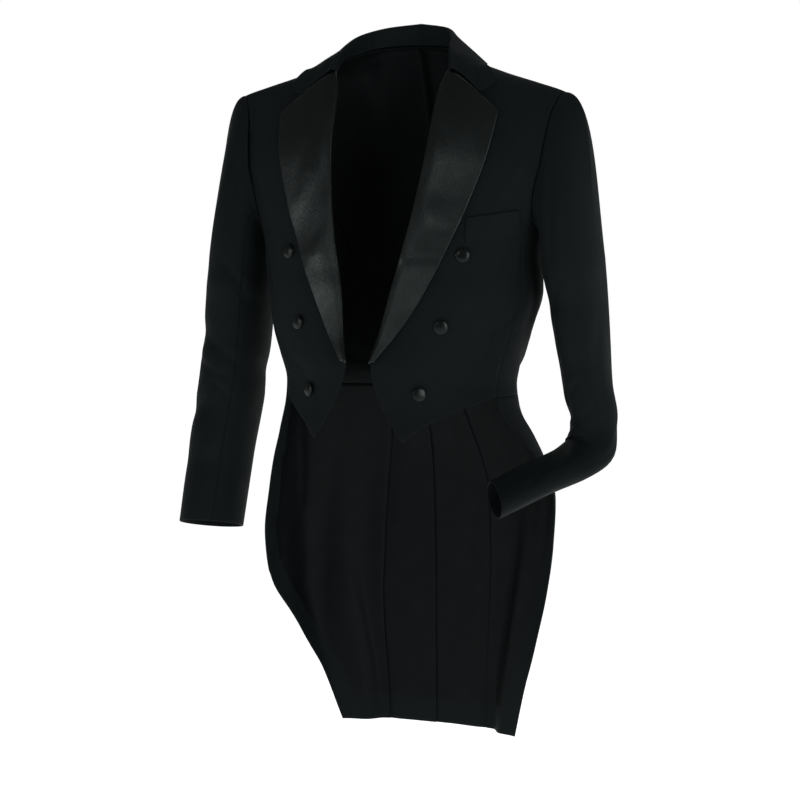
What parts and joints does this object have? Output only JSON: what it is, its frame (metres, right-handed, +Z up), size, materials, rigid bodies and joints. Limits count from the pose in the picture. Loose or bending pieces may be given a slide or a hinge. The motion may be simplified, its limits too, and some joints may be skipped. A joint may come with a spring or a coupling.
{
  "type": "white tie tailcoat",
  "caption": "Formal evening tailcoat in black wool with satin lapels, cut away at the waist in front and falling to tails behind, one sleeve straight and one bent as worn.",
  "frame": {"origin": "middle of the neck base, at the height of the shoulder seams' inner ends, where a wearer holds the coat up", "axes": "+Z up, the wearer faces -Y, the wearer's left is +X"},
  "size_m": [0.6389, 0.2746, 1.0044],
  "materials": {
    "wool": "black worsted wool barathea, matt",
    "satin": "black silk satin, soft gloss",
    "covered_button": "black satin over a domed mould"
  },
  "bodies": {
    "root": {"front_left": "wool", "front_right": "wool", "side_left": "wool", "side_right": "wool", "back_left": "wool", "back_right": "wool", "skirt_left": "wool", "skirt_right": "wool", "topsleeve_left": "wool", "undersleeve_left": "wool", "topsleeve_right": "wool", "undersleeve_right": "wool", "collar": "wool", "breast_welt": "wool", "lapel_left": "satin", "lapel_right": "satin", "button_left_1": "covered_button", "button_left_2": "covered_button", "button_left_3": "covered_button", "button_right_1": "covered_button", "button_right_2": "covered_button", "button_right_3": "covered_button", "back_button_left": "covered_button", "back_button_right": "covered_button"}
  },
  "joints": []
}
